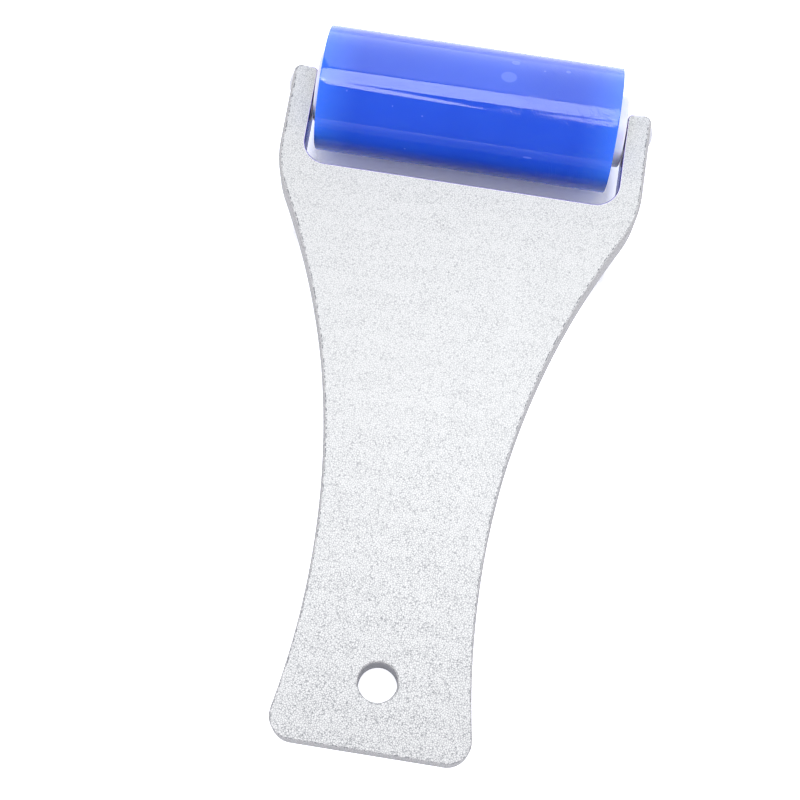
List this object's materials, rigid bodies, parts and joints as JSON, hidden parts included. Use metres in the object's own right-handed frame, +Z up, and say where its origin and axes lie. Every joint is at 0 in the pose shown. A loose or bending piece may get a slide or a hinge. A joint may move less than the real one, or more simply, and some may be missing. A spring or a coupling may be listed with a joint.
{
  "type": "seam roller",
  "caption": "Hand seam roller: a wide soft sleeve turning on shielded ball bearings between the ears of a flat one-piece metal fork handle with a hang hole.",
  "frame": {"origin": "on the table plane, under the middle of the tool's box", "axes": "+X along the axle to the right ear, +Y from the handle's end towards the roller, +Z up; the tool lies with the sleeve and the handle's end on z = 0, so the handle plate leans about 4 degrees down towards -Y; the axle line runs through y = 99.1 mm, z = 21.25 mm"},
  "size_m": [0.1252, 0.2406, 0.0425],
  "materials": {
    "frosted_coat": "fine pebbled silver-white coat on cast aluminium, satin with small glints",
    "blue_silicone": "glossy translucent blue silicone, brighter where light enters the ends",
    "white_plastic": "smooth white moulded plastic, slightly translucent",
    "screw_steel": "plated, softly reflecting, with a cross recess",
    "turned_steel": "turned, with fine marks round the axis",
    "bearing_steel": "ground and polished",
    "shield_steel": "pressed sheet, satin",
    "cage_steel": "pressed sheet, dull"
  },
  "bodies": {
    "handle": {"handle_plate": "frosted_coat", "axle": "turned_steel", "axle_screw_left": "screw_steel", "axle_screw_right": "screw_steel", "spacer_left": "turned_steel", "spacer_right": "turned_steel", "bearing_left_inner_ring": "bearing_steel", "bearing_right_inner_ring": "bearing_steel"},
    "roller": {"roller_sleeve": "blue_silicone", "roller_core": "white_plastic", "bearing_left_outer_ring": "bearing_steel", "bearing_left_outboard_shield": "shield_steel", "bearing_left_inboard_shield": "shield_steel", "bearing_right_outer_ring": "bearing_steel", "bearing_right_outboard_shield": "shield_steel", "bearing_right_inboard_shield": "shield_steel"},
    "left_ball_set": {"bearing_left_cage": "cage_steel", "bearing_left_ball_1": "bearing_steel", "bearing_left_ball_2": "bearing_steel", "bearing_left_ball_3": "bearing_steel", "bearing_left_ball_4": "bearing_steel", "bearing_left_ball_5": "bearing_steel", "bearing_left_ball_6": "bearing_steel", "bearing_left_ball_7": "bearing_steel"},
    "right_ball_set": {"bearing_right_cage": "cage_steel", "bearing_right_ball_1": "bearing_steel", "bearing_right_ball_2": "bearing_steel", "bearing_right_ball_3": "bearing_steel", "bearing_right_ball_4": "bearing_steel", "bearing_right_ball_5": "bearing_steel", "bearing_right_ball_6": "bearing_steel", "bearing_right_ball_7": "bearing_steel"}
  },
  "joints": [
    {"name": "roller_spin", "type": "hinge", "parent": "handle", "child": "roller", "pos_m": [0, 0.09908, 0.02125], "axis": [1, 0, 0], "continuous": true},
    {"name": "left_ball_orbit", "type": "hinge", "parent": "handle", "child": "left_ball_set", "pos_m": [0, 0.09908, 0.02125], "axis": [1, 0, 0], "continuous": true},
    {"name": "right_ball_orbit", "type": "hinge", "parent": "handle", "child": "right_ball_set", "pos_m": [0, 0.09908, 0.02125], "axis": [1, 0, 0], "continuous": true}
  ],
  "couplings": [
    {"joint": "left_ball_orbit", "follows": "roller_spin", "ratio": 0.61759},
    {"joint": "right_ball_orbit", "follows": "roller_spin", "ratio": 0.61759}
  ]
}
